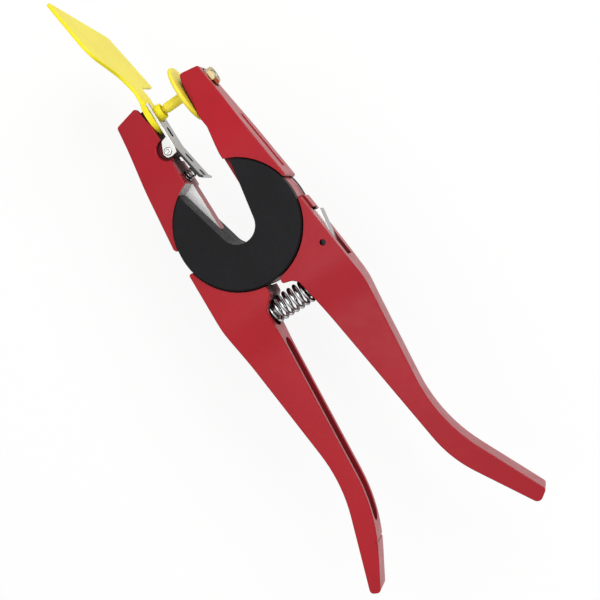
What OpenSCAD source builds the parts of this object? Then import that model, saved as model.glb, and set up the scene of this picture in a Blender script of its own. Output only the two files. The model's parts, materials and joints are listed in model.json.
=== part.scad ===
// Ear tag pliers in millimetres. Two crossed levers turn on a horseshoe hub that leaves the pivot open.
// Z is the pivot axis with the hub's middle at 0, the jaws point to +Y and the handles to -Y.
// The clip lever carries the left jaw and the right handle, the pin lever the right jaw and left handle.

/* [Hub] */
// Outer diameter of the two hub discs
disc_d = 64; // [60:1:68]
// Height over the two hub discs
hub_h = 28; // [27:0.5:30]
// Radius of the throat's round floor
throat_r = 9.3; // [8.5:0.1:10]
// Lean of each side of the throat from its own axis
throat_lean = 12.3; // [10:0.1:14]
// Turn of the throat's axis from the tool's axis
throat_turn = 2.4; // [0:0.1:4]
// Thickness of each lever's web between the discs
web_t = 8; // [7:0.5:9]
// Wall of the sleeve around the throat that the pin lever turns on
sleeve_wall = 2.5; // [2:0.1:3]
// Radius of the circle that the hub screws stand on
screw_circle_r = 22; // [21:0.5:23]
// Diameter of the hub screws
screw_d = 4; // [3:0.5:4.5]
// Outer diameter of the bushes on the hub screws
bush_d = 7; // [6.5:0.5:8]

/* [Levers] */
// Thickness of both levers beside the hub
lever_t = 24; // [22:0.5:25]
// Thickness of the jaws and handles
arm_t = 16.4; // [16:0.2:18]
// Distance from the pivot where the levers have thinned to the arm thickness
taper_end = 66; // [58:1:72]
// Reach of the jaws from the pivot
jaw_len = 76; // [75:0.5:80]
// Width of the throat between the two webs
jaw_gap = 22; // [21:0.5:23]
// Length of the handles from the pivot
handle_len = 187; // [177:1:197]
// Angle through which a squeeze turns the pin lever
squeeze_angle = 8; // [6:0.5:8.5]
// Width of the channel along the inside of each handle
channel_w = 9.8; // [8:0.2:11]

/* [Return spring] */
// Outer diameter of the return spring
return_od = 12.7; // [11.5:0.1:13.2]
// Wire of the return spring
return_wire = 1.75; // [1.4:0.05:2]
// Curls of the return spring
return_turns = 7; // [5:1:8]
// Distance of the return spring's axis below the pivot
return_y = 44.2; // [43:0.1:46]
// Diameter of the pegs inside the return spring
peg_d = 7; // [5:0.5:8]

/* [Tag clip] */
// Sheet thickness of the tag clip
clip_t = 1.2; // [1:0.1:1.5]
// Width of the tag clip
clip_w = 15.2; // [14:0.2:15.6]
// Distance of the clip's hinge from the end of its jaw
hinge_inset = 26.6; // [26:0.1:28]
// Depth of the clip's hinge below the clip's face
hinge_depth = 3; // [2.8:0.1:3.4]
// Diameter of the clip's hinge pin
hinge_d = 3; // [2.5:0.1:3.2]
// Lean of the clip's thumb tail away from the jaw
tail_lean = 9.5; // [8:0.5:12]
// Length of the thumb tail from the hinge
tail_len = 18.8; // [18:0.2:20]
// Outer diameter of the clip spring
clip_spring_od = 5.4; // [4.5:0.1:6]
// Wire of the clip spring
clip_spring_wire = 0.8; // [0.6:0.05:0.9]

/* [Pin] */
// Distance of the applicator pin from the end of its jaw
pin_inset = 7; // [6.5:0.5:8]
// Diameter of the pin's needle
needle_d = 2.6; // [2:0.1:3]
// Diameter of the pin's threaded shank
shank_d = 5; // [4:0.5:6]
// Width of the pin's hexagon nut across its flats
nut_af = 8; // [7:0.5:10]
// Thickness of the pin's nut
nut_h = 3.5; // [3:0.1:4.5]
// Thickness of the washer under the nut
washer_t = 0.7; // [0.5:0.1:1]

/* [Latch] */
// Thickness of the latch pawl
pawl_t = 10; // [7:0.5:10.5]
// Diameter of the pawl's pin
pawl_pin_d = 3; // [2.5:0.1:3.4]
// Outer diameter of the pawl's spring
pawl_spring_od = 3.8; // [3.2:0.1:4.2]
// Wire of the pawl's spring
pawl_spring_wire = 0.5; // [0.4:0.05:0.6]

/* [Ear tag] */
// Diameter of the button on the pin
button_d = 30; // [26:0.5:31]
// Thickness of the button
button_t = 2.2; // [1.8:0.1:2.6]
// Diameter of the button's stem
stem_d = 5.2; // [4.8:0.1:5.4]
// Outer diameter of the tag's socket
socket_d = 8.6; // [8.4:0.1:9]
// Width of the tag's panel across its shoulders
panel_w = 72; // [60:1:76]
// Width of the tag's panel at its far edge
panel_end_w = 66; // [55:1:72]
// Length of the tag from its socket to its far edge
panel_len = 67; // [58:1:75]
// Thickness of the tag's panel
panel_t = 1.8; // [1.4:0.1:2.2]
// Bend of the panel away from the pin
panel_bend = 10.8; // [5:0.1:16]
// Turn of the tag about the pin's axis
panel_roll = 10.2; // [0:0.1:14]

/* [Clearances] */
// Radial play of parts that turn on each other
running_gap = 0.05; // [0.02:0.01:0.1]
// Radial play of parts that are fixed in each other
fixed_gap = 0.02; // [0.01:0.01:0.05]
// Gap between a lever's shoulder and the disc or web it passes
shoulder_gap = 0.6; // [0.4:0.1:1]
// Half of the gap between faces that slide on each other
face_gap = 0.1; // [0.05:0.05:0.2]
// Gap beside the pawl, the clip's ears and the bushes in their slots
side_gap = 0.3; // [0.2:0.05:0.4]

/* [Hidden] */
$fn = 64;
far = 400;

paint = [0.68, 0.14, 0.17];
black = [0.13, 0.14, 0.14];
steel = [0.75, 0.75, 0.76];
brass = [0.80, 0.66, 0.36];
yellow = [0.96, 0.88, 0.22];

// Hub levels and radii
disc_r = disc_d / 2;
hub_top = hub_h / 2;
disc_floor = web_t + face_gap;
shoulder_r = disc_r + shoulder_gap;
sleeve_r = throat_r + sleeve_wall;
web_end = 15;
boss_end = 20;
rim_bevel = 0.8;
screw_angles = [-20, -90, -160];
screw_r = screw_d / 2;
bush_r = bush_d / 2;
head_r = screw_r + 1.8;
head_h = 2.6;
head_sink = 0.6;
thread_depth = 4;

// Levers
half_gap = jaw_gap / 2;
taper_start = disc_r + 2;
taper_steps = 8;
handle_grow = handle_len - 186;
jaw_grow = jaw_len - 76;

// Each outline is a list of corners [x, y, radius]
clip_jaw = [[-half_gap - 2.6, jaw_len, 1.5], [-half_gap - 15.6, jaw_len - 2.8, 1.8],
            [-disc_r - 2, 5.2, 2.2], [-half_gap, 5.2, 0], [-half_gap, 64, 8]];
pin_jaw = [[half_gap + 3.2, jaw_len + 1.4, 2], [half_gap + 13.3, jaw_len - 0.3, 1.2],
           [disc_r + 1.2, 7.4, 1.2], [half_gap, 7.4, 0], [half_gap, 34, 10], [half_gap + 1.6, 48, 5],
           [half_gap + 0.8, 53, 2], [half_gap + 1.4, jaw_len - 5, 8]];
right_handle = [[disc_r + 1.4, -4.5, 1], [disc_r + 6.6, -53, 40], [31.5, -129 - handle_grow, 80],
                [58.1, -182.1 - handle_grow, 1.8], [51.9, -186.8 - handle_grow, 2.8],
                [27, -147.6 - handle_grow, 60], [12.7, -50.5, 4], [10.8, -39, 3],
                [8.2, -disc_r - 4.8, 2], [3.4, -disc_r - 3.4, 1.2], [5, -disc_r + 4, 0], [20, -10, 0]];
left_handle = [[-disc_r - 2, -7, 1.2], [-disc_r - 2.8, -40, 60], [-24.6, -131.3 - handle_grow, 80],
               [-42.2, -184.6 - handle_grow, 2], [-37.4, -186.6 - handle_grow, 2],
               [-17.9, -152 - handle_grow, 90], [-11, -50, 3], [-10.6, -42.5, 4], [-4.2, -disc_r - 4.4, 2],
               [-4, -disc_r + 4, 0], [-20, -10, 0]];
right_channel = [[-10, -60, 0], [21.5, -60, 4], [29.5, -131 - handle_grow, 60],
                 [37.5, -158 - handle_grow, 3], [-10, -161 - handle_grow, 0]];
left_channel = [[10, -57, 0], [-19.5, -57, 4], [-21, -131 - handle_grow, 60],
                [-27.5, -157 - handle_grow, 3], [10, -160 - handle_grow, 0]];
right_channel_ends = [-61, -157.5 - handle_grow];
left_channel_ends = [-58, -156 - handle_grow];
channel_r = channel_w / 2 - 0.4;
pocket_from = 13;
pocket_to = 47;
pocket_w = 7;
pocket_depth = 0.6;
notch_at = 14.5;
notch_w = 1;
notch_depth = 0.6;

// Return spring seats
left_seat_x = -13.4;
right_seat_x = 12.3;
seat_gap = 0.15;
seat_r = return_od / 2 + 0.5;
peg_r = peg_d / 2;
peg_out = 5;
peg_in = 6;

// Tag clip
pin_y = jaw_len - pin_inset;
hinge_y = jaw_len - hinge_inset;
tail_y = hinge_y - tail_len;
clip_x = -half_gap + 3.1;
hinge_x = clip_x - hinge_depth;
fork_top = pin_y + 5.8;
bend_y = hinge_y + 1;
tail_drop = bend_y - tail_y;
ear_in = clip_w / 2 - clip_t;
lug_half = ear_in - side_gap;
lug_r = hinge_depth - 0.4;
ear_room_r = 5.7;
fork_slot = socket_d + 2 * side_gap + 0.4;
pin_room_w = 10;
pin_room_floor = half_gap + 8;
clip_slot_w = 3.6;
clip_slots = [[hinge_y + 7.8, hinge_y + 10], [hinge_y - 8.1, hinge_y - 5.9], [tail_y + 2, tail_y + 2.4]];
rivet_r = hinge_d / 2 + 0.6;
rivet_t = 0.7;

// Clip spring, square to the clip's tail
spring_drop = 14.4;
clip_spring_top = [clip_x + spring_drop * tan(tail_lean), bend_y - spring_drop];
clip_spring_len = 7.4;
clip_spring_turns = 4;
tail_normal = [-cos(tail_lean), -sin(tail_lean)];
clip_spring_foot = clip_spring_top + tail_normal * clip_spring_len;

// Pin, nut and button
spot_x = half_gap + 13;
spot_r = nut_af * 0.7;
nut_x = spot_x + washer_t;
needle_x = half_gap + 1.5;
needle_tip = -1.2;
shank_end = nut_x + nut_h - 0.3;
button_x = half_gap + 0.7;
stem_tip = -4.2;
stem_r = stem_d / 2;

// Ear tag
tag_t = 2.8;
tag_x = clip_x - 0.2;
tag_r = 9.5;
socket_top = clip_x + 4.2;
socket_hole_r = socket_d / 2 - 0.8;
hole_drop = 0.4;
neck_half = 8;
neck_end = 12;
panel_start = 29.5;
bend_r = 25;
function tag_y(u) = neck_end + (u - neck_end) * cos(panel_bend);
tag_outline = [[0, neck_half, 0], [tag_y(21), neck_half + 1, 12], [tag_y(panel_start), panel_w / 2, 10],
               [tag_y(panel_len), panel_end_w / 2, 3], [tag_y(panel_len), -panel_end_w / 2, 3],
               [tag_y(panel_start), -panel_w / 2, 3], [tag_y(21), -neck_half - 1, 5], [0, -neck_half, 0]];

// Latch
pawl_at = [disc_r - 1.1, -29.3];
pawl_outline = [[disc_r + 0.9, -12.9, 0.4], [disc_r + 5.4, -14.1, 0.5], [disc_r + 3.9, -24, 8],
                [disc_r + 2.8, -31.5, 2.5], [disc_r - 1.1, -33.2, 2.5], [disc_r - 4.6, -30.5, 2.5],
                [disc_r - 1.4, -22, 4]];
tooth_outline = [[disc_r - 1.5, -3.6, 0], [disc_r + 2.4, -4.6, 1], [disc_r + 3.3, -12.1, 0.4],
                 [disc_r - 1.4, -10.7, 0]];
slot_outline = [[disc_r - 12, 2, 0], [disc_r + 14, 2, 0], [disc_r + 14, -41, 0], [disc_r + 5.2, -40, 2],
                [disc_r - 5, -36.5, 2], [disc_r - 5.6, -27, 2], [disc_r - 5, -19.5, 2]];
slot_half = pawl_t / 2 + side_gap;
pawl_pin_r = pawl_pin_d / 2;
pawl_pin_sink = 3.5;
pawl_spring_y = -21.2;
pawl_spring_foot = disc_r - 5.1;
pawl_spring_head = disc_r + 0.5;
pawl_spring_turns = 4;

// Rounded outlines
function flat(p) = [p[0], p[1]];
function unit(v) = v / norm(v);
function arc_steps(radius, turn) = max(1, ceil(abs(turn) / (radius > 20 ? 3 : 15)));
function arc(centre, radius, from, turn) =
    [for (i = [0 : arc_steps(radius, turn)])
        let (a = from + turn * i / arc_steps(radius, turn)) centre + radius * [cos(a), sin(a)]];
function corner(p, before, after) =
    let (u = unit(flat(before) - flat(p)),
         v = unit(flat(after) - flat(p)),
         half = acos(u * v) / 2,
         centre = flat(p) + unit(u + v) * p[2] / sin(half),
         start = flat(p) + u * p[2] / tan(half) - centre,
         stop = flat(p) + v * p[2] / tan(half) - centre,
         from = atan2(start[1], start[0]),
         turn = (atan2(stop[1], stop[0]) - from + 540) % 360 - 180)
    p[2] == 0 ? [flat(p)] : arc(centre, p[2], from, turn);
function rounded(p) =
    [for (i = [0 : len(p) - 1]) each corner(p[i], p[(i + len(p) - 1) % len(p)], p[(i + 1) % len(p)])];

// Wire springs. A curl has 8 rings of 6 sides, and both ends stand square on their seats.
rings_per_curl = 8;
ring_sides = 6;
function coil_angle(i) = 360 * i / rings_per_curl;
function coil_rise(i, turns, wire, length) = wire + (length - 2 * wire) * i / (turns * rings_per_curl);
function coil_axis(i, turns, wire, length, radius) =
    concat([[[radius, 0, 0], [0, 0, 1], 0], [[radius, 0, wire / 2], [0, 0, 1], 0]],
        [for (k = [0 : turns * rings_per_curl])
            let (a = coil_angle(k),
                 climb = (length - 2 * wire) / turns,
                 run = 360 * radius * PI / 180,
                 slope = unit([-sin(a) * run, cos(a) * run, climb]),
                 is_end = k == 0 || k == turns * rings_per_curl)
            [[radius * cos(a), radius * sin(a), coil_rise(k, turns, wire, length)],
             is_end ? unit(slope + [0, 0, 1]) : slope, a]],
        [[[radius, 0, length - wire / 2], [0, 0, 1], 360 * turns], [[radius, 0, length], [0, 0, 1], 360 * turns]]);
function coil_points(axis, wire) =
    [for (p = axis)
        let (n = [cos(p[2]), sin(p[2]), 0], b = cross(p[1], n))
        for (j = [0 : ring_sides - 1])
            let (a = 360 * j / ring_sides) p[0] + wire / 2 * (cos(a) * n + sin(a) * b)];
function coil_faces(rings) =
    concat([for (j = [1 : ring_sides - 2]) [0, j, j + 1]],
        [for (i = [0 : rings - 2]) for (j = [0 : ring_sides - 1])
            let (a = i * ring_sides + j, b = i * ring_sides + (j + 1) % ring_sides)
            each [[a, a + ring_sides, b], [b, a + ring_sides, b + ring_sides]]],
        [for (j = [1 : ring_sides - 2])
            let (k = (rings - 1) * ring_sides) [k, k + j + 1, k + j]]);
function coil_gap(axis, wire) =
    min([for (i = [0 : len(axis) - 1]) for (j = [i + rings_per_curl / 2 : 1 : len(axis) - 1])
        norm(axis[i][0] - axis[j][0])]) - wire;

module coil(from, to, od, wire, turns, name) {
    length = norm(to - from);
    axis = coil_axis(0, turns, wire, length, (od - wire) / 2);
    echo(str(name, " least gap between curls, mm: ", coil_gap(axis, wire)));
    translate([from[0], from[1], 0])
        rotate([0, 90, atan2(to[1] - from[1], to[0] - from[0])])
            polyhedron(coil_points(axis, wire), coil_faces(len(axis)));
}

// Cylinder from one point to another across X
module rod_x(from, to, r, y) {
    translate([from, y, 0]) rotate([0, 90, 0]) cylinder(h = to - from, r = r);
}

// Plate with a flat outline between two heights
module plate(bottom, top, outline) {
    translate([0, 0, bottom]) linear_extrude(top - bottom) polygon(rounded(outline));
}

// Horseshoe throat that the ear enters
module throat_2d() {
    side = [cos(throat_lean), -sin(throat_lean)] * throat_r;
    up = [sin(throat_lean), cos(throat_lean)] * far;
    rotate(throat_turn) {
        circle(throat_r);
        polygon([side, side + up, [-side[0] - up[0], side[1] + up[1]], [-side[0], side[1]]]);
    }
}

// Quarter above a line through the pivot, on one side of the throat
module wedge_2d(side, angle) {
    polygon([[0, 0], [0, far], [side * far, far], [side * far, far * tan(angle)]]);
}

// Web of one lever: the lower ring and the half of its own jaw's side
module web_2d(side) {
    difference() {
        circle(disc_r);
        circle(sleeve_r + running_gap);
        polygon([[0, 0], [side * half_gap, 0], [side * half_gap, far], [-side * far, far],
                 [-side * far, far * tan(web_end)]]);
    }
}

// Side view of both levers: thick beside the hub, easing to thinner jaws and handles
function ease(t) = t * t * (3 - 2 * t);
function taper_at(i) = taper_start + (taper_end - taper_start) * i / taper_steps;
function half_at(i) = (lever_t + (arm_t - lever_t) * ease(i / taper_steps)) / 2;
lever_top = concat([[far, arm_t / 2]],
                   [for (i = [taper_steps : -1 : 0]) [taper_at(i), half_at(i)]],
                   [for (i = [0 : taper_steps]) [-taper_at(i), half_at(i)]],
                   [[-far, arm_t / 2]]);
lever_bottom = [for (i = [len(lever_top) - 1 : -1 : 0]) [lever_top[i][0], -lever_top[i][1]]];

module lever_section() {
    rotate([90, 0, 90]) linear_extrude(far, center = true) polygon(concat(lever_top, lever_bottom));
}

module arms(jaw, handle) {
    intersection() {
        lever_section();
        union() {
            plate(-lever_t / 2, lever_t / 2, jaw);
            plate(-lever_t / 2, lever_t / 2, handle);
        }
    }
}

// Room for the discs and the other lever's web, leaving this lever's own web between two levels
module hub_room(low, high) {
    translate([0, 0, -far]) cylinder(h = far + low, r = shoulder_r);
    translate([0, 0, high]) cylinder(h = far, r = shoulder_r);
}

// Channel in a handle, with round ends
module channel(outline, ends) {
    side = channel_w / 2;
    intersection() {
        plate(-channel_w, channel_w, outline);
        rotate([90, 0, 90]) linear_extrude(far, center = true)
            polygon(rounded([[ends[0], side, channel_r], [ends[0], -side, channel_r],
                             [ends[1], -side, channel_r], [ends[1], side, channel_r]]));
    }
}

module at_screws() {
    for (a = screw_angles) rotate(a) translate([screw_circle_r, 0, 0]) children();
}

// Slots in the pin lever's web that the bushes run along during the squeeze
module bush_slots() {
    slot_r = bush_r + side_gap;
    play = 2;
    sweep = squeeze_angle + 2 * play;
    for (a = screw_angles) {
        first = a + play;
        last = first - sweep;
        translate([0, 0, -far / 2]) linear_extrude(far)
            polygon(concat(arc([0, 0], screw_circle_r + slot_r, last, sweep),
                           arc(screw_circle_r * [cos(first), sin(first)], slot_r, first + 15, 150),
                           arc([0, 0], screw_circle_r - slot_r, first, -sweep),
                           arc(screw_circle_r * [cos(last), sin(last)], slot_r, last + 195, 150)));
    }
}

module clip_lever() {
    color(paint) difference() {
        union() {
            difference() {
                arms(clip_jaw, right_handle);
                hub_room(-web_t, -face_gap);
                ear_room();
            }
            translate([0, 0, -web_t]) linear_extrude(web_t - face_gap) web_2d(-1);
            hinge_lug();
        }
        translate([hinge_x, hinge_y, -far / 2]) cylinder(h = far, r = hinge_d / 2 + fixed_gap);
        channel(right_channel, right_channel_ends);
        pin_room();
        clip_spring_seat();
        latch_slot();
        translate([pawl_at[0], pawl_at[1], -far / 2]) cylinder(h = far, r = pawl_pin_r + fixed_gap);
        at_screws() translate([0, 0, -far / 2]) cylinder(h = far, r = bush_r + fixed_gap);
        rod_x(right_seat_x - far, right_seat_x, seat_r, -return_y);
        rod_x(right_seat_x - 1, right_seat_x + peg_in, peg_r + fixed_gap, -return_y);
    }
}

// Lug between the clip's ears that carries the hinge pin
module hinge_lug() {
    root_x = -half_gap - 4;
    translate([0, 0, -lug_half]) linear_extrude(2 * lug_half)
        polygon(concat([[root_x, hinge_y - lug_r]], arc([hinge_x, hinge_y], lug_r, -90, 180),
                       [[root_x, hinge_y + lug_r]]));
}

// Scallops in both cheeks around the clip's ears
module ear_room() {
    difference() {
        translate([clip_x - 2.2, hinge_y + 0.6, -far / 2]) cylinder(h = far, r = ear_room_r);
        translate([-far, -far, -lug_half]) cube([2 * far, 2 * far, 2 * lug_half]);
    }
}

// Hollow in the jaw's end that the stem runs into
module pin_room() {
    translate([-pin_room_floor, pin_y - 9, -pin_room_w / 2]) cube([far, far, pin_room_w]);
}

module clip_spring_seat() {
    translate([clip_spring_foot[0], clip_spring_foot[1], 0])
        rotate([0, 90, tail_lean])
            translate([0, 0, -seat_gap]) cylinder(h = 20, r = clip_spring_od / 2 + side_gap);
}

// Slot in the handle's shoulder for the pawl and the tooth
module latch_slot() {
    difference() {
        plate(-slot_half, slot_half, slot_outline);
        translate([0, 0, -far / 2]) cylinder(h = far, r = disc_r - face_gap);
    }
    rod_x(pawl_spring_foot - seat_gap, disc_r, pawl_spring_od / 2 + side_gap, pawl_spring_y);
}

module pin_lever() {
    color(paint) difference() {
        union() {
            difference() {
                union() {
                    arms(pin_jaw, left_handle);
                    plate(-pawl_t / 2, pawl_t / 2, tooth_outline);
                }
                hub_room(face_gap, web_t);
            }
            translate([0, 0, face_gap]) linear_extrude(web_t - face_gap) web_2d(1);
        }
        channel(left_channel, left_channel_ends);
        grip_notch();
        bush_slots();
        jaw_pocket();
        rod_x(0, far, shank_d / 2 + fixed_gap, pin_y);
        rod_x(spot_x, far, spot_r, pin_y);
        rod_x(left_seat_x, far, seat_r, -return_y);
        rod_x(left_seat_x - peg_in, 0, peg_r + fixed_gap, -return_y);
    }
}

// Small notch across the inside of the left handle, beyond its channel
module grip_notch() {
    bend = flat(left_handle[5]);
    along = unit(flat(left_handle[4]) - bend);
    place = bend + notch_at * along;
    translate([place[0], place[1], 0]) rotate(atan2(along[1], along[0]))
        cube([notch_w, 2 * notch_depth, far], center = true);
}

// Long shallow pocket along the outside of the pin jaw
module jaw_pocket() {
    top_x = half_gap + 17.2;
    foot_x = disc_r + 0.6;
    plate(-pocket_w / 2, pocket_w / 2,
          [[top_x - pocket_depth, pocket_to, 1.5], [foot_x - pocket_depth, pocket_from, 1.5],
           [far, pocket_from, 0], [far, pocket_to, 0]]);
}

// One hub disc, facing up
module disc(boss_side) {
    bevel_z = hub_top - rim_bevel;
    difference() {
        union() {
            translate([0, 0, disc_floor]) cylinder(h = bevel_z - disc_floor, r = disc_r);
            translate([0, 0, bevel_z]) cylinder(h = rim_bevel, r1 = disc_r, r2 = disc_r - rim_bevel);
            translate([0, 0, face_gap]) cylinder(h = disc_floor, r = sleeve_r);
            translate([0, 0, face_gap]) linear_extrude(disc_floor) intersection() {
                circle(disc_r);
                wedge_2d(boss_side, boss_end);
            }
        }
        translate([0, 0, -1]) linear_extrude(hub_h) throat_2d();
    }
}

module front_disc() {
    color(black) difference() {
        disc(-1);
        at_screws() cylinder(h = disc_floor + thread_depth, r = screw_r + fixed_gap);
    }
}

module back_disc() {
    color(black) difference() {
        mirror([0, 0, 1]) disc(1);
        at_screws() {
            translate([0, 0, -hub_h]) cylinder(h = hub_h, r = screw_r + running_gap);
            translate([0, 0, -hub_h]) cylinder(h = hub_h - hub_top + head_sink + head_h, r = head_r + side_gap);
        }
    }
}

module hub_bushes() {
    color(steel) at_screws() translate([0, 0, -web_t]) difference() {
        cylinder(h = 2 * web_t, r = bush_r);
        translate([0, 0, -1]) cylinder(h = 2 * web_t + 2, r = screw_r + running_gap);
    }
}

module hub_screws() {
    head_z = -hub_top + head_sink;
    key_r = screw_r * 0.8;
    color(steel) at_screws() difference() {
        union() {
            translate([0, 0, head_z]) cylinder(h = head_h, r = head_r);
            translate([0, 0, head_z]) cylinder(h = disc_floor + thread_depth - 0.5 - head_z, r = screw_r);
        }
        translate([0, 0, head_z - 1]) cylinder(h = head_h, r = key_r, $fn = 6);
    }
}

module return_spring() {
    color(steel) coil([left_seat_x + seat_gap, -return_y], [right_seat_x - seat_gap, -return_y],
                      return_od, return_wire, return_turns, "Return spring");
}

module left_spring_peg() {
    color(steel) rod_x(left_seat_x - peg_in, left_seat_x + peg_out, peg_r, -return_y);
}

module right_spring_peg() {
    color(steel) rod_x(right_seat_x - peg_out, right_seat_x + peg_in, peg_r, -return_y);
}

module tag_clip() {
    lip = 1.6;
    tail_x = clip_x + tail_drop * tan(tail_lean);
    ear = [[clip_x + 0.4, hinge_y + 6.6, 0], [hinge_x - 0.2, hinge_y + 5.6, 1.2], [hinge_x - 2.8, hinge_y - 0.2, 1.8],
           [hinge_x - 1.8, hinge_y - 2.6, 1.6], [hinge_x + 0.4, hinge_y - 3, 1], [clip_x + 0.8, hinge_y - 2.4, 0]];
    color(steel) difference() {
        union() {
            plate(-clip_w / 2, clip_w / 2,
                  [[clip_x, fork_top, 0.4], [clip_x, bend_y, 6], [tail_x, tail_y, 1], [tail_x + lip, tail_y - lip, 0.3],
                   [tail_x + lip + 0.8, tail_y - lip + 0.8, 0.3], [tail_x + clip_t / cos(tail_lean), tail_y + 0.6, 1],
                   [clip_x + clip_t, bend_y, 6], [clip_x + clip_t, fork_top, 0.4]]);
            for (low = [-clip_w / 2, ear_in]) plate(low, low + clip_t, ear);
        }
        rod_x(-far / 2, far / 2, fork_slot / 2, pin_y);
        translate([-far / 2, pin_y, -fork_slot / 2]) cube([far, far, fork_slot]);
        for (s = clip_slots) {
            translate([clip_x - 1, s[0], -clip_slot_w / 2]) cube([far, s[1] - s[0], clip_slot_w]);
            for (y = s) rod_x(clip_x - 1, far, clip_slot_w / 2, y);
        }
        translate([hinge_x, hinge_y, -far / 2]) cylinder(h = far, r = hinge_d / 2 + running_gap);
    }
}

module clip_pin() {
    half = clip_w / 2 + face_gap;
    color(steel) translate([hinge_x, hinge_y, 0]) {
        translate([0, 0, -half]) cylinder(h = 2 * half, r = hinge_d / 2);
        for (z = [-half - rivet_t, half]) translate([0, 0, z]) cylinder(h = rivet_t, r = rivet_r);
    }
}

module clip_spring() {
    color(steel) coil(clip_spring_foot, clip_spring_top + tail_normal * seat_gap,
                      clip_spring_od, clip_spring_wire, clip_spring_turns, "Clip spring");
}

module applicator_pin() {
    tip = 3;
    color(steel) union() {
        translate([needle_tip, pin_y, 0]) rotate([0, 90, 0]) cylinder(h = tip, r1 = needle_d / 5, r2 = needle_d / 2);
        rod_x(needle_tip + tip, needle_x, needle_d / 2, pin_y);
        rod_x(needle_x, shank_end, shank_d / 2, pin_y);
    }
}

module pin_washer() {
    color(steel) difference() {
        rod_x(spot_x, nut_x, nut_af * 0.6, pin_y);
        rod_x(spot_x - 1, nut_x + 1, shank_d / 2 + fixed_gap, pin_y);
    }
}

module pin_nut() {
    corner_r = nut_af / sqrt(3);
    color(brass) difference() {
        intersection() {
            translate([nut_x, pin_y, 0]) rotate([0, 90, 0]) rotate(30) cylinder(h = nut_h, r = corner_r, $fn = 6);
            translate([nut_x, pin_y, 0]) rotate([0, 90, 0])
                cylinder(h = nut_h, r1 = corner_r + nut_h * 0.5, r2 = nut_af / 2);
        }
        rod_x(nut_x - 1, nut_x + nut_h + 1, shank_d / 2 + fixed_gap, pin_y);
    }
}

// Button with its hollow stem, turned about the pin
module tag_button() {
    length = button_x - stem_tip;
    bore_r = needle_d / 2 + running_gap;
    edge = button_t / 2;
    collar = 1.4;
    color(yellow) translate([button_x, pin_y, 0]) rotate([0, -90, 0]) rotate_extrude()
        polygon(concat([[bore_r, 0], [button_d / 2 - edge, 0]],
            arc([button_d / 2 - edge, edge], edge, -75, 150),
            [[button_d / 2 - edge, button_t], [stem_r + collar, button_t], [stem_r, button_t + collar],
             [stem_r, length - 2.4], [stem_r * 0.45, length], [0, length],
             [0, button_x - needle_tip + 1], [bore_r, button_x - needle_tip + 0.4]]));
}

// Tag with its socket under the clip's fork and its panel beyond the jaw
module ear_tag() {
    color(yellow) translate([0, pin_y, 0]) rotate([-panel_roll, 0, 0]) difference() {
        union() {
            rod_x(tag_x - tag_t, tag_x, tag_r, 0);
            translate([tag_x - 1, 0, 0]) rotate([0, 90, 0])
                cylinder(h = socket_top - tag_x + 1, r1 = socket_d / 2, r2 = socket_d / 2 - 0.25);
            tag_sheet();
        }
        rod_x(-far / 2, far / 2, socket_hole_r, -hole_drop);
    }
}

// Neck and panel of the tag, one bent sheet cut to its outline
module tag_sheet() {
    x = tag_x - tag_t + 0.4;
    tip = [x, neck_end] + panel_len * [-sin(panel_bend), cos(panel_bend)];
    across = panel_t * [cos(panel_bend), sin(panel_bend)];
    bend_rise = panel_t * tan(panel_bend / 2);
    intersection() {
        plate(-panel_w, panel_w,
              [[x, -1, 0], [x, neck_end, bend_r], [tip[0], tip[1], 0], [tip[0] + across[0], tip[1] + across[1], 0],
               [x + panel_t, neck_end + bend_rise, bend_r + panel_t], [x + panel_t, -1, 0]]);
        rotate([90, 0, 90]) linear_extrude(far, center = true) polygon(rounded(tag_outline));
    }
}

module latch_pawl() {
    color(steel) difference() {
        plate(-pawl_t / 2, pawl_t / 2, pawl_outline);
        translate([pawl_at[0], pawl_at[1], -far / 2]) cylinder(h = far, r = pawl_pin_r + running_gap);
        rod_x(disc_r - 5, pawl_spring_head + seat_gap, pawl_spring_od / 2 + side_gap, pawl_spring_y);
    }
}

module pawl_pin() {
    half = lever_t / 2 - pawl_pin_sink;
    color(steel) translate([pawl_at[0], pawl_at[1], -half]) cylinder(h = 2 * half, r = pawl_pin_r);
}

module pawl_spring() {
    color(steel) coil([pawl_spring_foot, pawl_spring_y], [pawl_spring_head, pawl_spring_y],
                      pawl_spring_od, pawl_spring_wire, pawl_spring_turns, "Pawl spring");
}

clip_lever();
pin_lever();
front_disc();
back_disc();
hub_bushes();
hub_screws();
return_spring();
left_spring_peg();
right_spring_peg();
tag_clip();
clip_pin();
clip_spring();
applicator_pin();
pin_washer();
pin_nut();
tag_button();
ear_tag();
latch_pawl();
pawl_pin();
pawl_spring();
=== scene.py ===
"""Ear tag pliers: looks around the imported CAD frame, in metres and in the frame's own axes."""
import json
import math

import bmesh
import bpy
from mathutils import Matrix, Vector


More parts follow.
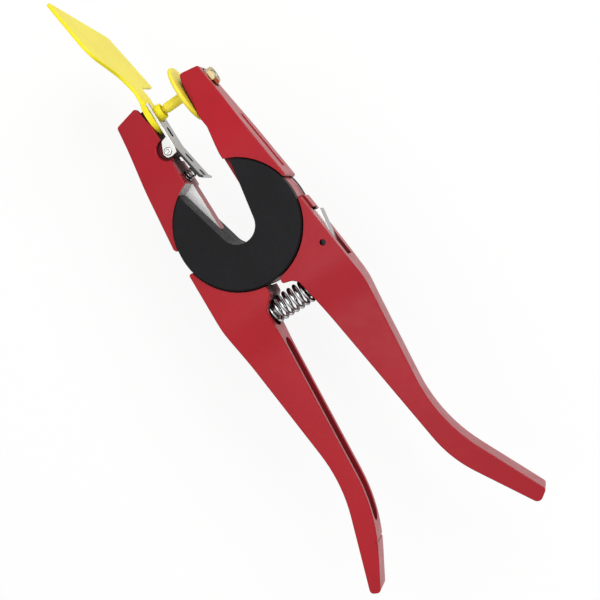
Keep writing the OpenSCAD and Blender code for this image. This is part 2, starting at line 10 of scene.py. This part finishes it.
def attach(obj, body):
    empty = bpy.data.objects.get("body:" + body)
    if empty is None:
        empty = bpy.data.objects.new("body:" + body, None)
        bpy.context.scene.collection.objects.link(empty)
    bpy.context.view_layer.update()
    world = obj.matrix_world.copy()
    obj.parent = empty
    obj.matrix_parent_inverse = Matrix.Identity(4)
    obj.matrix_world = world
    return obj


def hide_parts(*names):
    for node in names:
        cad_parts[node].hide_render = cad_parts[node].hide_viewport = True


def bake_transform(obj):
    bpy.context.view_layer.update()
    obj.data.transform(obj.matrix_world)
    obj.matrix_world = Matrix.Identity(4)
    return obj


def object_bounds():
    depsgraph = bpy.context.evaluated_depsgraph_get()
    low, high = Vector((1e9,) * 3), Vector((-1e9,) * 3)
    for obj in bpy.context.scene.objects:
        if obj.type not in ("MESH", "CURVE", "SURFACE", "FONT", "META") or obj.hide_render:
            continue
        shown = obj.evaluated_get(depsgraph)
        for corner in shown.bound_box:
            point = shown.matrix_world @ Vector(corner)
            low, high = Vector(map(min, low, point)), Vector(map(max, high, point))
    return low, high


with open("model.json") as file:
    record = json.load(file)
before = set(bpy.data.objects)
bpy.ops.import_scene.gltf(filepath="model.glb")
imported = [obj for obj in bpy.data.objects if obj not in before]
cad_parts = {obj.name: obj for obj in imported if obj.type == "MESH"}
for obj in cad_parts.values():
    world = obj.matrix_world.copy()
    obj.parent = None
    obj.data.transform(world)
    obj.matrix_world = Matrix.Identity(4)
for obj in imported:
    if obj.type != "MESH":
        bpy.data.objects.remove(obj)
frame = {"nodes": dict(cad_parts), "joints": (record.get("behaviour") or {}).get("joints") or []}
nodes = frame["nodes"]
cad_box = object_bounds()
scene = bpy.context.scene
MM = 0.001
X, Z = 0, 2

# Places and sizes of the frame that the looks depend on, in millimetres
joint_at = {joint["name"]: [c / MM for c in joint["pos_m"]] for joint in frame["joints"]}
PAWL_PIN = joint_at["pawl_press"]
PAWL_PIN_ROOM = 3.0  # radius that takes in the pin's hole
HUB_EDGE = 33.3  # radius that takes in the levers' shoulders around the discs
COUNTERBORE = 32.7  # radius that takes in the room for the discs
HALF_GAP = 11.0  # from the middle of the throat to its side
OUTLINE_Z = 7.0  # between a lever's channel and its outline
POCKET_X = 24.0  # the pocket lies beyond this, between these ends and within this half width
POCKET_ENDS = (12.0, 48.0)
POCKET_HALF = 3.6
CLIP_HINGE = joint_at["clip_open"]
CLIP_FACE = 4.3 - HALF_GAP  # outer face above the bend
CLIP_BEND = CLIP_HINGE[1] + 1.0
CLIP_LEAN = math.tan(math.radians(9.5))  # of the tail
CLIP_ENDS = (32.5, 72.5)  # of the folded edges, which lie beyond this half width
CLIP_HALF = 7.5
CLIP_TAIL = CLIP_HINGE[1] - 2.0  # top of the tail's sheared sides
CLIP_SHEET = 1.5  # depth that takes in the sheet
CLIP_SKIN = 0.3  # depth that takes in its outer face alone
SLOT_HALF = 1.9  # half width that takes in the slots
SOCKET_Y = 69.0
SOCKET_REACH = 6.0  # radius that takes in the socket
TAG_BASE = 9.7  # radius that takes in the round base

# A face looks along an axis when its normal has this share of it
FACING = 0.9
# Two places closer than this are the same, in millimetres
TOUCH = 0.05


# Node helpers

MOST_NOISE = (0.3, 0.7)  # nearly all of a noise lies between these
WAVE_PITCH = math.pi / 10  # pitch of the wave node's rings at scale 1, in metres
FLAT_DOT, EDGE_DOT = 0.97, 0.8  # rounded normal against true normal, on a flat and on an edge
MIX_A, MIX_B, MIX_RESULT = 6, 7, 2  # sockets of a Mix node for colours


def new_material(name):
    mat = bpy.data.materials.new(name)
    mat.use_nodes = True
    tree = mat.node_tree
    return mat, tree, tree.nodes["Principled BSDF"]


def add(tree, kind, **values):
    node = tree.nodes.new(kind)
    for key, value in values.items():
        setattr(node, key, value)
    return node


def place(tree, stretch=(1, 1, 1)):
    """Place in the frame, scaled along its axes."""
    where = add(tree, "ShaderNodeTexCoord")
    mapping = add(tree, "ShaderNodeMapping")
    mapping.inputs["Scale"].default_value = stretch
    tree.links.new(where.outputs["Object"], mapping.inputs["Vector"])
    return mapping.outputs["Vector"]


def noise(tree, scale, detail, stretch=(1, 1, 1)):
    """Noise on the piece's own place in the frame, with scale in features per metre."""
    tex = add(tree, "ShaderNodeTexNoise")
    tex.inputs["Scale"].default_value = scale
    tex.inputs["Detail"].default_value = detail
    tex.inputs["Roughness"].default_value = 0.55
    tree.links.new(place(tree, stretch), tex.inputs["Vector"])
    return tex.outputs["Fac"]


def turned_rings(tree, pitch):
    """Rings about the pivot axis with that pitch in metres, as a lathe leaves them."""
    tex = add(tree, "ShaderNodeTexWave", wave_type="RINGS", rings_direction="Z")
    tex.inputs["Scale"].default_value = WAVE_PITCH / pitch
    tex.inputs["Distortion"].default_value = 1.5
    tex.inputs["Detail"].default_value = 2.0
    tex.inputs["Detail Scale"].default_value = 0.4
    tree.links.new(place(tree), tex.inputs["Vector"])
    return tex.outputs["Fac"]


def ramp(tree, source, stops):
    """Colour that follows the source through stops of (position, colour)."""
    node = add(tree, "ShaderNodeValToRGB")
    while len(node.color_ramp.elements) < len(stops):
        node.color_ramp.elements.new(0.5)
    for element, (at, colour) in zip(node.color_ramp.elements, stops):
        element.position = at
        element.color = (*colour, 1)
    tree.links.new(source, node.inputs["Fac"])
    return node.outputs["Color"]


def span(tree, source, low, high, out_low, out_high):
    """The source's span from low to high as a span from out_low to out_high."""
    node = add(tree, "ShaderNodeMapRange")
    for key, value in (("From Min", low), ("From Max", high), ("To Min", out_low), ("To Max", out_high)):
        node.inputs[key].default_value = value
    tree.links.new(source, node.inputs["Value"])
    return node.outputs["Result"]


def clouds(tree, scale, detail, low, high):
    """Colour that drifts between low and high over the piece."""
    return ramp(tree, noise(tree, scale, detail), list(zip(MOST_NOISE, (low, high))))


def uneven(tree, scale, low, high):
    """A value that drifts between low and high over the piece."""
    return span(tree, noise(tree, scale, detail=3), *MOST_NOISE, low, high)


def tint(tree, fac, a, b):
    """Colour a, going to colour b where fac is 1."""
    node = add(tree, "ShaderNodeMix", data_type="RGBA")
    tree.links.new(fac, node.inputs["Factor"])
    tree.links.new(a, node.inputs[MIX_A])
    node.inputs[MIX_B].default_value = (*b, 1)
    return node.outputs[MIX_RESULT]


def total(tree, a, b, **values):
    """The sum of two sources."""
    node = add(tree, "ShaderNodeMath", operation="ADD", **values)
    tree.links.new(a, node.inputs[0])
    tree.links.new(b, node.inputs[1])
    return node.outputs[0]


def edges(tree, radius):
    """1 along the edges of a piece and 0 on its flats."""
    rounded = add(tree, "ShaderNodeBevel", samples=4)
    rounded.inputs["Radius"].default_value = radius
    geometry = add(tree, "ShaderNodeNewGeometry")
    dot = add(tree, "ShaderNodeVectorMath", operation="DOT_PRODUCT")
    tree.links.new(rounded.outputs["Normal"], dot.inputs[0])
    tree.links.new(geometry.outputs["True Normal"], dot.inputs[1])
    return span(tree, dot.outputs["Value"], FLAT_DOT, EDGE_DOT, 0.0, 1.0)


def hollows(tree, reach, low, high):
    """1 deep in a hollow of about that reach in metres and 0 in the open."""
    node = add(tree, "ShaderNodeAmbientOcclusion", samples=8)
    node.inputs["Distance"].default_value = reach
    return span(tree, node.outputs["AO"], high, low, 0.0, 1.0)


def bump(tree, shader, *layers):
    """Layers of (height, strength, distance) on the shader's normal."""
    normal = None
    for height, strength, distance in layers:
        node = add(tree, "ShaderNodeBump")
        node.inputs["Strength"].default_value = strength
        node.inputs["Distance"].default_value = distance
        tree.links.new(height, node.inputs["Height"])
        if normal is not None:
            tree.links.new(normal, node.inputs["Normal"])
        normal = node.outputs["Normal"]
    tree.links.new(normal, shader.inputs["Normal"])


# Materials

THIN_PAINT = (0.42, 0.013, 0.024)
# Dark red put into deep hollows of the paint as painted shade
PAINTED_SHADE_RED = (0.018, 0.006, 0.007)
WORN_BLACK = (0.020, 0.021, 0.023)
# Brighter yellow painted along the tag's edges as a highlight
PAINTED_EDGE_LIGHT_YELLOW = (0.98, 0.90, 0.02)
POLISHED = (0.95, 0.95, 0.95)
# Dark grey put into the hollows of metal parts as painted shade
PAINTED_SHADE_GREY = (0.02, 0.02, 0.02)


def red_paint(name, low, high, paint_hollow_shade=True):
    """Satin powder coat, a little thinner and paler along the edges, with painted shade darkening deep
    hollows and rougher paint there.
    """
    mat, tree, shader = new_material(name)
    base = clouds(tree, 24, 3, low, high)
    base = tint(tree, edges(tree, radius=0.7 * MM), base, THIN_PAINT)
    rough = uneven(tree, 160, 0.27, 0.35)
    if paint_hollow_shade:
        # Painted shade: the colour goes dark in deep hollows, and the paint is rougher there
        hollow_shade_mask = hollows(tree, reach=14 * MM, low=0.28, high=0.74)
        base = tint(tree, hollow_shade_mask, base, PAINTED_SHADE_RED)
        rough = total(tree, rough, span(tree, hollow_shade_mask, 0.0, 1.0, 0.0, 0.45))
    tree.links.new(base, shader.inputs["Base Color"])
    tree.links.new(rough, shader.inputs["Roughness"])
    shader.inputs["Specular IOR Level"].default_value = 0.22
    peel = noise(tree, 420, 2)
    dust = noise(tree, 2600, 2)
    bump(tree, shader, (peel, 0.10, 0.4 * MM), (dust, 0.05, 0.1 * MM))
    return mat


def bare_metal(name, low, high, smooth, rough):
    """Turned aluminium in the hub, where the casting has no paint."""
    mat, tree, shader = new_material(name)
    shader.inputs["Metallic"].default_value = 1.0
    rings = turned_rings(tree, pitch=0.45 * MM)
    tree.links.new(clouds(tree, 90, 4, low, high), shader.inputs["Base Color"])
    tree.links.new(span(tree, rings, 0.0, 1.0, smooth, rough), shader.inputs["Roughness"])
    pits = noise(tree, 900, 3)
    bump(tree, shader, (rings, 0.12, 0.1 * MM), (pits, 0.06, 0.1 * MM))
    return mat


def black_plastic():
    """Matte moulded black with a fine spark-eroded grain."""
    mat, tree, shader = new_material("black_plastic")
    base = clouds(tree, 55, 4, (0.0065, 0.0065, 0.0076), (0.0092, 0.0092, 0.0105))
    base = tint(tree, edges(tree, radius=0.6 * MM), base, WORN_BLACK)
    tree.links.new(base, shader.inputs["Base Color"])
    tree.links.new(uneven(tree, 500, 0.50, 0.62), shader.inputs["Roughness"])
    shader.inputs["Specular IOR Level"].default_value = 0.15
    grain = noise(tree, 2200, 3)
    bump(tree, shader, (grain, 0.22, 0.2 * MM))
    return mat


def metal(name, colour, dark, smooth, rough, grain_scale=500, stretch=(1, 1, 1), depth=0.06,
          painted_shade=None, rim=None, graze=1.0):
    """Metal with a grain that is drawn out along the axis of a small stretch.

    Dark is the share of the colour left in its darker clouds; the hollows within the given reach and limits
    are darkened as painted shade; rim is the radius of polished edges, and graze the brightness at a low
    angle.
    """
    mat, tree, shader = new_material(name)
    shader.inputs["Metallic"].default_value = 1.0
    shader.inputs["Specular Tint"].default_value = (graze, graze, graze, 1)
    grain = noise(tree, grain_scale, 3, stretch)
    cloud = noise(tree, 120, 3)
    base = ramp(tree, cloud, [(0.25, tuple(dark * c for c in colour)), (0.65, colour)])
    if rim:
        base = tint(tree, edges(tree, rim), base, POLISHED)
    # Painted shade: the colour goes dark in the hollows
    if painted_shade:
        base = tint(tree, hollows(tree, *painted_shade), base, PAINTED_SHADE_GREY)
    tree.links.new(base, shader.inputs["Base Color"])
    tree.links.new(span(tree, grain, *MOST_NOISE, smooth, rough), shader.inputs["Roughness"])
    bump(tree, shader, (grain, depth, 0.1 * MM))
    return mat


def yellow_plastic(name, low, high):
    """Soft satin moulding that light goes a little way into, with a painted highlight of brighter yellow
    along its edges.
    """
    mat, tree, shader = new_material(name)
    base = clouds(tree, 40, 3, low, high)
    # Painted highlight: brighter yellow along the edges
    base = tint(tree, edges(tree, radius=0.8 * MM), base, PAINTED_EDGE_LIGHT_YELLOW)
    tree.links.new(base, shader.inputs["Base Color"])
    tree.links.new(uneven(tree, 300, 0.38, 0.48), shader.inputs["Roughness"])
    shader.inputs["Specular IOR Level"].default_value = 0.22
    shader.inputs["Subsurface Weight"].default_value = 0.2
    shader.inputs["Subsurface Radius"].default_value = (0.003, 0.0025, 0.0006)
    shader.inputs["Subsurface Scale"].default_value = 1.0
    flow = noise(tree, 160, 3)
    grain = noise(tree, 1800, 2)
    bump(tree, shader, (flow, 0.06, 0.6 * MM), (grain, 0.08, 0.1 * MM))
    return mat


CLIP_RED = red_paint("red_paint", (0.3195, 0.0050, 0.0125), (0.3645, 0.0065, 0.0160))
PIN_RED = red_paint("red_paint_pin_lever", (0.355, 0.0050, 0.0125), (0.405, 0.0065, 0.0160))
POCKET_RED = red_paint("red_paint_pocket", (0.355, 0.0050, 0.0125), (0.405, 0.0065, 0.0160), paint_hollow_shade=False)
WEB = bare_metal("bare_web", (0.84, 0.83, 0.82), (0.95, 0.94, 0.93), smooth=0.46, rough=0.56)
# Painted shade: the counterbore's wall is the same bare metal made dark
SHADED_WALL = bare_metal("bare_wall_painted_shade", (0.20, 0.20, 0.20), (0.34, 0.34, 0.34), smooth=0.30, rough=0.40)
BLACK = black_plastic()
STEEL = metal("ground_steel", (0.62, 0.62, 0.63), dark=0.85, smooth=0.26, rough=0.40)
OXIDE = metal("black_oxide", (0.05, 0.05, 0.055), dark=0.7, smooth=0.35, rough=0.5)
PAWL = metal("pawl_steel", (0.84, 0.83, 0.82), dark=0.94, smooth=0.24, rough=0.32, depth=0.02, graze=0.5)
# The springs, the clip and the nut get painted shade in their hollows
CHROME = metal("bright_spring", (0.60, 0.61, 0.62), dark=0.9, smooth=0.07, rough=0.14,
               painted_shade=(4 * MM, 0.35, 0.8), graze=0.2)
CLIP = metal("clip_steel", (0.76, 0.76, 0.75), dark=0.94, smooth=0.28, rough=0.36,
             grain_scale=700, stretch=(1, 0.06, 1), depth=0.02,
             painted_shade=(2 * MM, 0.3, 0.6), rim=0.4 * MM, graze=0.45)
BRASS = metal("brass", (0.84, 0.67, 0.36), dark=0.88, smooth=0.12, rough=0.22,
              painted_shade=(2 * MM, 0.2, 0.6), graze=0.6)
YELLOW = yellow_plastic("yellow_plastic", (0.88, 0.74, 0.016), (0.93, 0.80, 0.024))
BUTTON = yellow_plastic("yellow_button", (0.88, 0.73, 0.055), (0.93, 0.79, 0.070))

PAINT = {
    "clip_lever": CLIP_RED, "pin_lever": PIN_RED, "front_disc": BLACK, "back_disc": BLACK,
    "hub_bushes": STEEL, "hub_screws": OXIDE, "return_spring": CHROME, "left_spring_peg": STEEL,
    "right_spring_peg": STEEL, "tag_clip": CLIP, "clip_pin": CLIP, "clip_spring": CHROME,
    "applicator_pin": STEEL, "pin_washer": STEEL, "pin_nut": BRASS, "tag_button": BUTTON,
    "ear_tag": YELLOW, "latch_pawl": PAWL, "pawl_pin": OXIDE, "pawl_spring": CHROME,
}
for name, mat in PAINT.items():
    nodes[name].data.materials.clear()
    nodes[name].data.materials.append(mat)


# Second materials on parts of a node

def looks_along(face, axis):
    """Whether the face looks along that axis, either way."""
    return abs(face.normal[axis]) > FACING


def in_pocket(point):
    """Whether the point is on the shallow pocket along the outside of the pin jaw."""
    x, y, z = point / MM
    return x > POCKET_X and POCKET_ENDS[0] < y < POCKET_ENDS[1] and abs(z) < POCKET_HALF


def clip_face(y):
    """X of the clip's outer face: upright above the bend, leaning away from its jaw below it."""
    return CLIP_FACE + max(0, CLIP_BEND - y) * CLIP_LEAN


def bare_hub(mesh):
    """Bare metal on the clip lever's web beside the throat, and a darker copy of it as painted shade on the
    wall of its counterbore there.
    """
    mesh.materials.append(WEB)
    mesh.materials.append(SHADED_WALL)
    for face in mesh.polygons:
        x, y = face.center.xy / MM
        reach = max(math.hypot(*mesh.vertices[v].co.xy) for v in face.vertices)
        throat_wall = looks_along(face, X) and abs(x + HALF_GAP) < TOUCH
        beside = x < 0 and y > 0
        if reach < COUNTERBORE * MM and beside and not throat_wall:
            # Flat faces get the bare metal, the wall gets its darker copy as painted shade
            face.material_index = 1 if looks_along(face, Z) else 2


def unshaded_pocket(mesh):
    """Paint without the painted shade of hollows in the pocket."""
    mesh.materials.append(POCKET_RED)
    for face in mesh.polygons:
        if all(in_pocket(mesh.vertices[v].co) for v in face.vertices):
            face.material_index = 1


def dark_cuts(mesh):
    """Near-black oxide on the punched walls of the clip's slots and along the sheared sides of its tail, as
    painted shade.
    """
    mesh.materials.append(OXIDE)
    for face in mesh.polygons:
        x, y = face.center.xy / MM
        middle = max(abs(mesh.vertices[v].co.z) for v in face.vertices) < SLOT_HALF * MM
        slot = middle and not looks_along(face, X)
        tail = y < CLIP_TAIL and x > clip_face(y) - CLIP_SHEET and looks_along(face, Z)
        if slot or tail:
            face.material_index = 1


bare_hub(nodes["clip_lever"].data)
unshaded_pocket(nodes["pin_lever"].data)
dark_cuts(nodes["tag_clip"].data)


# Softened edges on the CAD nodes

SHARP_ANGLE = math.radians(28)
FLAT_ANGLE = math.radians(0.3)
SAME_POINT = 1e-6  # in metres
SAME_DIGITS = 7  # of a coordinate in metres
BEVEL_STEPS = 3

# Shares of a bevel's width
PIN_HOLE_SHARE = 0.2
CHANNEL_SHARE = 0.35
TAG_BASE_SHARE = 0.4


def everywhere(point):
    return 1.0


def lever_edge(point):
    """Wide on the outline of a lever, narrow on its slots and channel, none in the hub and the pocket."""
    x, y, z = point / MM
    if math.hypot(x, y) < HUB_EDGE or in_pocket(point):
        return 0.0
    if math.hypot(x - PAWL_PIN[0], y - PAWL_PIN[1]) < PAWL_PIN_ROOM:
        return PIN_HOLE_SHARE
    return 1.0 if abs(z) > OUTLINE_Z else CHANNEL_SHARE


def clip_fold(point):
    """The two long edges of the clip's outer face, where the sheet is folded."""
    x, y, z = point / MM
    inside = CLIP_ENDS[0] < y < CLIP_ENDS[1]
    return 1.0 if inside and abs(z) > CLIP_HALF and x > clip_face(y) - CLIP_SKIN else 0.0


def tag_edge(point):
    """Wide on the panel, narrow on the tag's round base, none on its thin-walled socket."""
    x, y, z = point / MM
    reach = math.hypot(y - SOCKET_Y, z)
    if reach < SOCKET_REACH:
        return 0.0
    return TAG_BASE_SHARE if reach < TAG_BASE else 1.0


def weigh_edges(mesh, weigh):
    """Marks each sharp edge with its share of the bevel's width, or as sharp where it has none."""
    def key(v):
        return tuple(round(c, SAME_DIGITS) for c in mesh.vertices[v].co)

    normals = {}
    for face in mesh.polygons:
        for pair in face.edge_keys:
            normals.setdefault(frozenset(map(key, pair)), []).append(face.normal)
    weights = mesh.attributes.new("bevel_weight_edge", "FLOAT", "EDGE")
    for edge in mesh.edges:
        a, b = (mesh.vertices[v].co for v in edge.vertices)
        sides = normals[frozenset(map(key, edge.vertices))]
        sharp = len(sides) == 2 and sides[0].angle(sides[1], 0) > SHARP_ANGLE
        share = weigh((a + b) / 2) if sharp else 0.0
        weights.data[edge.index].value = share
        edge.use_edge_sharp = sharp and share == 0


def soften(name, width, weigh):
    """Bevels the node's sharp edges with modifiers, by that width in millimetres times each edge's share."""
    node = nodes[name]
    mesh = node.data
    mesh.attributes.remove(mesh.attributes["custom_normal"])
    mesh.shade_smooth()
    weigh_edges(mesh, weigh)
    weld = node.modifiers.new("weld", "WELD")
    weld.merge_threshold = SAME_POINT
    flat = node.modifiers.new("flat", "DECIMATE")
    flat.decimate_type = "DISSOLVE"
    flat.angle_limit = FLAT_ANGLE
    flat.delimit = {"MATERIAL", "SHARP"}
    edge = node.modifiers.new("edge", "BEVEL")
    edge.width = width * MM
    edge.segments = BEVEL_STEPS
    edge.limit_method = "WEIGHT"
    edge.use_clamp_overlap = False
    even = node.modifiers.new("even", "WEIGHTED_NORMAL")
    even.keep_sharp = True


SOFT_EDGES = {
    "clip_lever": (0.6, lever_edge), "pin_lever": (0.6, lever_edge), "front_disc": (0.25, everywhere),
    "back_disc": (0.25, everywhere), "latch_pawl": (0.3, everywhere), "tag_clip": (0.35, clip_fold),
    "ear_tag": (0.45, tag_edge),
}
for name, (width, weigh) in SOFT_EDGES.items():
    soften(name, width, weigh)


# Pieces made here

def finish_piece(name, bm, mat):
    bmesh.ops.recalc_face_normals(bm, faces=bm.faces)
    mesh = bpy.data.meshes.new(name)
    bm.to_mesh(mesh)
    bm.free()
    mesh.materials.append(mat)
    obj = bpy.data.objects.new(name, mesh)
    scene.collection.objects.link(obj)
    return obj


def coil_path(length, radius, wire, turns, steps=40):
    """Middle line of a coil along Z as (point, direction, angle), with a short straight run at each end."""
    up = Vector((0, 0, 1))
    run = 2 * math.pi * radius
    climb = (length - 2 * wire) / turns
    last = turns * steps
    path = [(Vector((radius, 0, z)), up, 0.0) for z in (0, 0.5 * wire)]
    for k in range(last + 1):
        angle = 2 * math.pi * k / steps
        x, y = math.cos(angle), math.sin(angle)
        direction = Vector((-y * run, x * run, climb)).normalized()
        if k in (0, last):
            direction = (direction + up).normalized()
        path.append((Vector((radius * x, radius * y, wire + climb * k / steps)), direction, angle))
    path += [(Vector((radius, 0, z)), up, 0.0) for z in (length - 0.5 * wire, length)]
    return path


def coil(name, start, end, od, wire, turns, sides=16):
    """Round wire wound as the CAD coil is, from start to end in the plane of the levers, in millimetres."""
    start, end = Vector((*start, 0)), Vector((*end, 0))
    along = (end - start).normalized()
    ex = Vector((0, 0, -1))
    ey = along.cross(ex).normalized()
    bm = bmesh.new()
    loops = []
    for middle, direction, angle in coil_path((end - start).length, (od - wire) / 2, wire, turns):
        outward = Vector((math.cos(angle), math.sin(angle), 0))
        across = direction.cross(outward)
        loop = []
        for j in range(sides):
            t = 2 * math.pi * j / sides
            p = middle + 0.5 * wire * (math.cos(t) * outward + math.sin(t) * across)
            loop.append(bm.verts.new((start + ex * p.x + ey * p.y + along * p.z) * MM))
        loops.append(loop)
    for a, b in zip(loops, loops[1:]):
        for j in range(sides):
            k = (j + 1) % sides
            bm.faces.new((a[j], a[k], b[k], b[j])).smooth = True
    bm.faces.new(reversed(loops[0]))
    bm.faces.new(loops[-1])
    obj = finish_piece(name, bm, CHROME)
    return obj


def turned(name, profile, at, mat, sides=48):
    """Profile of (radius, height) turned about an axis along Z through at, in millimetres."""
    bm = bmesh.new()
    loops = []
    for r, z in profile:
        count = sides if r > 0 else 1
        loop = []
        for j in range(count):
            angle = 2 * math.pi * j / sides
            point = Vector((at[0] + r * math.cos(angle), at[1] + r * math.sin(angle), z))
            loop.append(bm.verts.new(point * MM))
        loops.append(loop)
    for a, b in zip(loops, loops[1:]):
        for j in range(sides):
            # A loop on the axis is one point, so its faces have three corners
            ring = [a[j % len(a)], a[(j + 1) % len(a)], b[(j + 1) % len(b)], b[j % len(b)]]
            bm.faces.new(list(dict.fromkeys(ring))).smooth = True
    obj = finish_piece(name, bm, mat)
    obj.data.set_sharp_from_angle(angle=math.radians(40))
    return obj


def springs():
    """The three coils, each wound from the seat of one end to the other, in place of the CAD coils."""
    spring = coil("return_coil", start=(-13.25, -44.2), end=(12.15, -44.2), od=12.7, wire=1.75, turns=7)
    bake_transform(spring)
    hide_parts("return_spring")
    spring = coil("clip_coil", start=(-12.789, 34.779), end=(-5.638, 35.975), od=5.4, wire=0.8, turns=4)
    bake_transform(spring)
    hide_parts("clip_spring")
    spring = coil("pawl_coil", start=(26.9, -21.2), end=(32.5, -21.2), od=3.8, wire=0.5, turns=4)
    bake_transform(spring)
    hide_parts("pawl_spring")


def rivet():
    """Clip's hinge rivet, with rolled heads that are hollow in the middle."""
    shank, head, under, crown = 1.5, 2.1, 7.72, 8.4
    half = [(0, crown - 0.5), (0.7, crown - 0.45), (1.0, crown - 0.1), (1.25, crown), (1.65, crown - 0.06),
            (1.95, crown - 0.25), (head, crown - 0.5), (head, under), (shank, under)]
    profile = half + [(r, -z) for r, z in reversed(half)]
    piece = turned("clip_rivet", profile, CLIP_HINGE, CLIP)
    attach(piece, "clip_arm")
    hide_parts("clip_pin")


springs()
rivet()


# Floor, light and camera

FLOOR_SIZE = 60
FLOOR_DROP = 0.03  # below the part
FLOOR_WHITE = 0.85  # share of plain white where the floor is seen, with the shadow in the rest
SKY = [(0.0, 0.12), (0.3, 0.28), (0.65, 0.75), (0.9, 1.0)]  # (height, brightness)
SKY_STRENGTH = 1.05


def floor():
    """White ground that keeps a light shadow, also in mirrors and through clear pieces."""
    bpy.ops.mesh.primitive_plane_add(size=FLOOR_SIZE, location=(0, 0, cad_box[0][2] - FLOOR_DROP))
    plane = bpy.context.object
    plane.name = "floor"
    mat, tree, shader = new_material("floor")
    shader.inputs["Base Color"].default_value = (0.92, 0.92, 0.92, 1)
    shader.inputs["Roughness"].default_value = 0.9
    light = add(tree, "ShaderNodeEmission")
    light.inputs["Color"].default_value = (1, 1, 1, 1)
    rays = add(tree, "ShaderNodeLightPath").outputs
    seen = total(tree, rays["Is Camera Ray"], rays["Is Glossy Ray"], use_clamp=True)
    seen = total(tree, seen, rays["Is Transmission Ray"], use_clamp=True)
    shade = add(tree, "ShaderNodeMixShader")
    tree.links.new(span(tree, seen, 0, 1, 0, FLOOR_WHITE), shade.inputs[0])
    tree.links.new(shader.outputs[0], shade.inputs[1])
    tree.links.new(light.outputs[0], shade.inputs[2])
    tree.links.new(shade.outputs[0], tree.nodes["Material Output"].inputs["Surface"])
    plane.data.materials.append(mat)


def lamp(name, at, look, size, power):
    """Square lamp at a place, turned to look at another."""
    data = bpy.data.lights.new(name, "AREA")
    data.size = size
    data.energy = power
    obj = bpy.data.objects.new(name, data)
    scene.collection.objects.link(obj)
    obj.location = at
    obj.rotation_euler = (Vector(look) - Vector(at)).to_track_quat("-Z", "Y").to_euler()


def studio():
    """Soft light overhead that fades to a darker horizon, a lamp for shape and a small one for sheen."""
    world = bpy.data.worlds.new("studio")
    world.use_nodes = True
    tree = world.node_tree
    where = add(tree, "ShaderNodeTexCoord")
    split = add(tree, "ShaderNodeSeparateXYZ")
    tree.links.new(where.outputs["Generated"], split.inputs[0])
    sky = ramp(tree, split.outputs["Z"], [(height, (grey,) * 3) for height, grey in SKY])
    background = tree.nodes["Background"]
    tree.links.new(sky, background.inputs["Color"])
    background.inputs["Strength"].default_value = SKY_STRENGTH
    scene.world = world
    lamp("key", at=(0.7, 0.3, 0.9), look=(0, -0.03, 0), size=0.6, power=6)
    lamp("fill", at=(-0.1, -0.07, 1.0), look=(0.03, -0.05, 0), size=0.3, power=0.7)


def photo_camera():
    """The photograph's camera, by its own axes and its place."""
    right = Vector((0.82239, -0.52951, -0.20807))
    up = Vector((0.52387, 0.84744, -0.08603))
    back = Vector((0.22188, -0.03825, 0.97432))
    at = Vector((0.1394, -0.0695, 0.5946))
    data = bpy.data.cameras.new("photo")
    data.lens = 75
    data.sensor_width = 36
    data.clip_start = 0.01
    obj = bpy.data.objects.new("photo", data)
    scene.collection.objects.link(obj)
    turn = Matrix((right, up, back)).transposed()
    obj.matrix_world = Matrix.Translation(at) @ turn.to_4x4()
    scene.camera = obj


floor()
studio()
photo_camera()
scene.view_settings.view_transform = "Standard"
